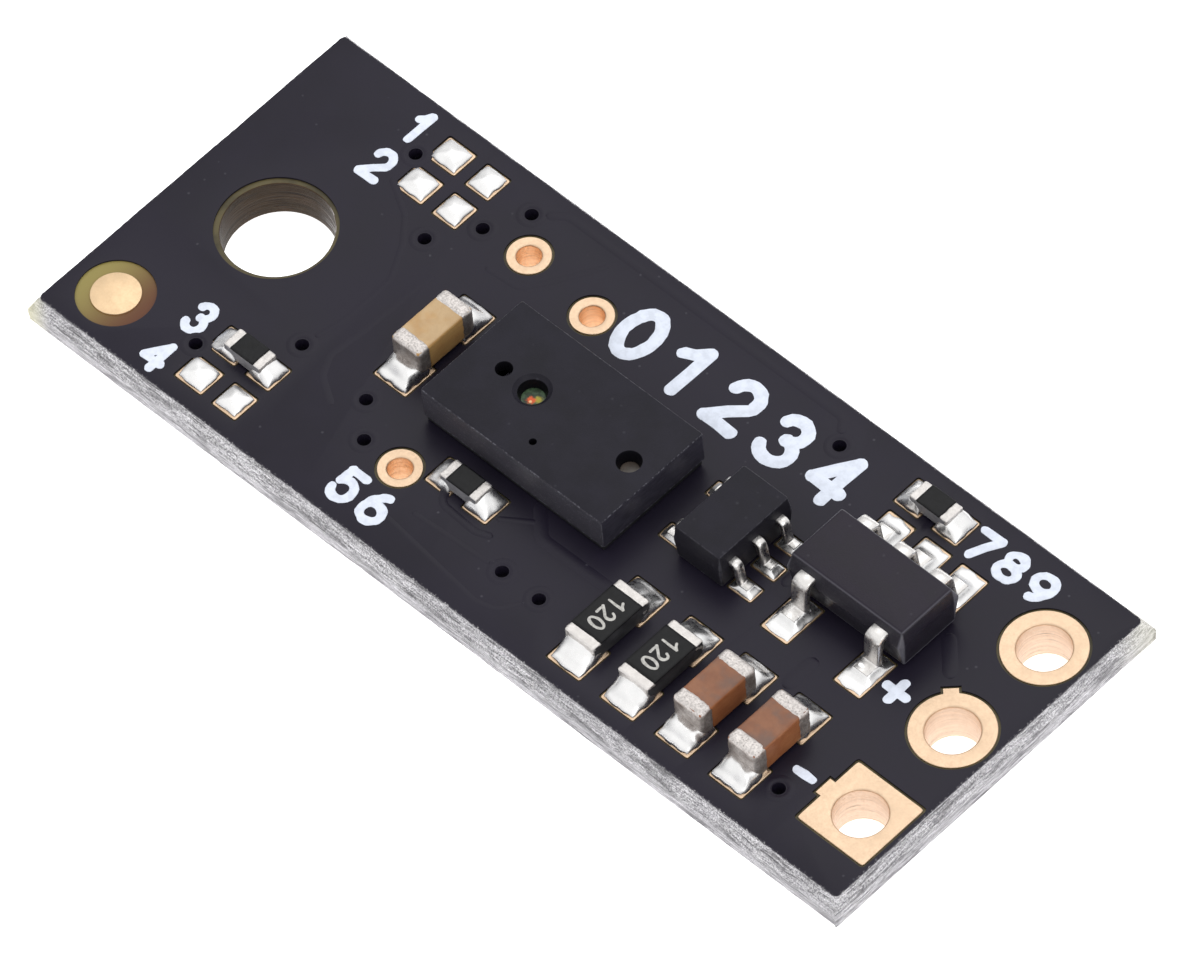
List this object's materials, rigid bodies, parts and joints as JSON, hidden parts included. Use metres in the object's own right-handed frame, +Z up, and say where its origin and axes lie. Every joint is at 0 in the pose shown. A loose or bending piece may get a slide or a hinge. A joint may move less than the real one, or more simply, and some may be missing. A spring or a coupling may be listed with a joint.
{
  "type": "distance sensor module",
  "caption": "Long narrow circuit board with a black optical distance sensor, its regulator and chip parts, a mounting hole at one end and a row of header holes at the other.",
  "frame": {"origin": "middle of the board's underside", "axes": "+X along the board towards the header holes, +Y across it towards the signal output hole, +Z up out of the component side"},
  "size_m": [0.0216, 0.0088, 0.0021],
  "materials": {
    "alumina": "grey ceramic",
    "brown_ceramic": "reddish brown ceramic",
    "copper": "plated wall",
    "emitter_resin": "smoky resin",
    "end_cap": "matt tin plate",
    "filter_glass": "coloured filter",
    "glaze": "black glaze",
    "gold": "pale gold finish",
    "laminate": "fibrous snapped edge",
    "lead_metal": "bright tin plate",
    "lid": "black, dusty edges",
    "mask": "satin black film",
    "moulding": "black epoxy moulding",
    "silicon": "polished die",
    "solder": "bright, uneven",
    "substrate": "dark laminate",
    "tan_ceramic": "ochre ceramic"
  },
  "bodies": {
    "root": {"header_pad_minus": "gold", "header_pad_out": "gold", "header_pad_plus": "gold", "test_pad_enable": "gold", "test_pad_left": "gold", "test_pad_right": "gold", "copper_lands": "gold", "fiducial_dot": "gold", "first_brown_capacitor_body": "brown_ceramic", "first_brown_capacitor_solder": "solder", "first_brown_capacitor_terminals": "end_cap", "first_divider_body": "alumina", "first_divider_coat": "glaze", "first_divider_solder": "solder", "first_divider_terminals": "end_cap", "jumper_solder": "solder", "laminate": "laminate", "left_resistor_body": "alumina", "left_resistor_coat": "glaze", "left_resistor_solder": "solder", "left_resistor_terminals": "end_cap", "logic_body": "moulding", "logic_leads": "lead_metal", "logic_solder": "solder", "middle_resistor_body": "alumina", "middle_resistor_coat": "glaze", "middle_resistor_solder": "solder", "middle_resistor_terminals": "end_cap", "regulator_body": "moulding", "regulator_leads": "lead_metal", "regulator_solder": "solder", "right_resistor_body": "alumina", "right_resistor_coat": "glaze", "right_resistor_solder": "solder", "right_resistor_terminals": "end_cap", "second_brown_capacitor_body": "brown_ceramic", "second_brown_capacitor_solder": "solder", "second_brown_capacitor_terminals": "end_cap", "second_divider_body": "alumina", "second_divider_coat": "glaze", "second_divider_solder": "solder", "second_divider_terminals": "end_cap", "sensor_cap": "lid", "sensor_emitter": "emitter_resin", "sensor_filter": "filter_glass", "sensor_receiver": "silicon", "sensor_solder": "solder", "sensor_substrate": "substrate", "solder_mask_back": "mask", "solder_mask_front": "mask", "tan_capacitor_body": "tan_ceramic", "tan_capacitor_solder": "solder", "tan_capacitor_terminals": "end_cap", "via_barrels": "copper"}
  },
  "joints": []
}
